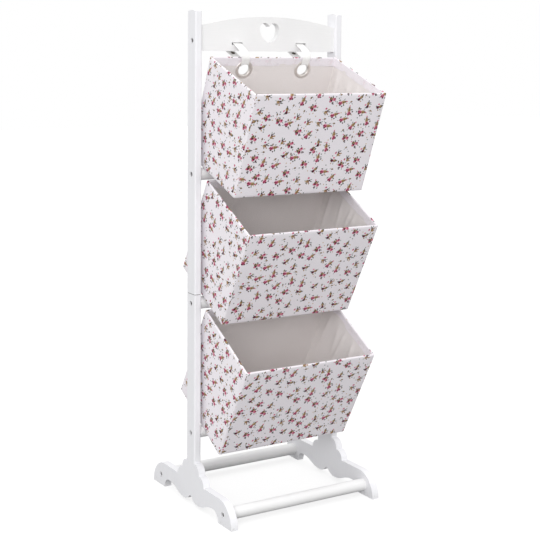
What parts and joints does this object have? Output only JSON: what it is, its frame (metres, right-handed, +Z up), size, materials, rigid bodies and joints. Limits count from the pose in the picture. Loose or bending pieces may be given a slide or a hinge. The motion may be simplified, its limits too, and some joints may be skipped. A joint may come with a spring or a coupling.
{
  "type": "upright rack with three hanging fabric baskets",
  "caption": "White wooden rack with a heart cut-out in its top rail and floral fabric baskets hung one above another by webbing straps",
  "frame": {"origin": "on the floor, midway between the two side boards and midway between their front and rear floor pads", "axes": "+Z up, +X to the right seen from the front, +Y to the rear; the baskets lean out towards -Y"},
  "size_m": [0.35, 0.3782, 1],
  "materials": {
    "painted_wood": "satin white paint over softwood, edges lightly rounded",
    "bare_wood": "unpainted beech pins, hidden in the joints",
    "zinc_steel": "zinc plated screws, head sunk under the face",
    "printed_cotton": "plain-weave cotton, white, small printed sprigs in pink, crimson and olive",
    "grey_board": "stiff grey board, sewn in between cover and lining",
    "lining_cloth": "plain beige cloth, matt",
    "nickel": "satin nickel eyelets with rolled edge",
    "webbing": "white woven cotton webbing",
    "dark_metal": "dark oxidised press studs"
  },
  "bodies": {
    "rack": {"left_leg": "painted_wood", "right_leg": "painted_wood", "left_post": "painted_wood", "right_post": "painted_wood", "top_rail": "painted_wood", "crossbar_upper": "painted_wood", "crossbar_middle": "painted_wood", "crossbar_lower": "painted_wood", "front_foot_bar": "painted_wood", "rear_foot_bar": "painted_wood", "wood_pins": "bare_wood", "frame_screws": "zinc_steel"},
    "top_basket": {"top_basket_cover": "printed_cotton", "top_basket_boards": "grey_board", "top_basket_lining": "lining_cloth", "top_basket_hem": "printed_cotton", "top_basket_eyelets": "nickel", "top_basket_straps": "webbing", "top_basket_studs": "dark_metal"},
    "middle_basket": {"middle_basket_cover": "printed_cotton", "middle_basket_boards": "grey_board", "middle_basket_lining": "lining_cloth", "middle_basket_hem": "printed_cotton", "middle_basket_eyelets": "nickel", "middle_basket_straps": "webbing", "middle_basket_studs": "dark_metal"},
    "bottom_basket": {"bottom_basket_cover": "printed_cotton", "bottom_basket_boards": "grey_board", "bottom_basket_lining": "lining_cloth", "bottom_basket_hem": "printed_cotton", "bottom_basket_eyelets": "nickel", "bottom_basket_straps": "webbing", "bottom_basket_studs": "dark_metal"}
  },
  "joints": [
    {"name": "top_basket_swing", "type": "hinge", "parent": "rack", "child": "top_basket", "pos_m": [0, -0.0025, 0.926], "axis": [-1, 0, 0], "range_deg": [0, 30]},
    {"name": "middle_basket_swing", "type": "hinge", "parent": "rack", "child": "middle_basket", "pos_m": [0, 0, 0.674], "axis": [-1, 0, 0], "range_deg": [0, 10]},
    {"name": "bottom_basket_swing", "type": "hinge", "parent": "rack", "child": "bottom_basket", "pos_m": [0, 0, 0.413], "axis": [-1, 0, 0], "range_deg": [0, 9]}
  ]
}
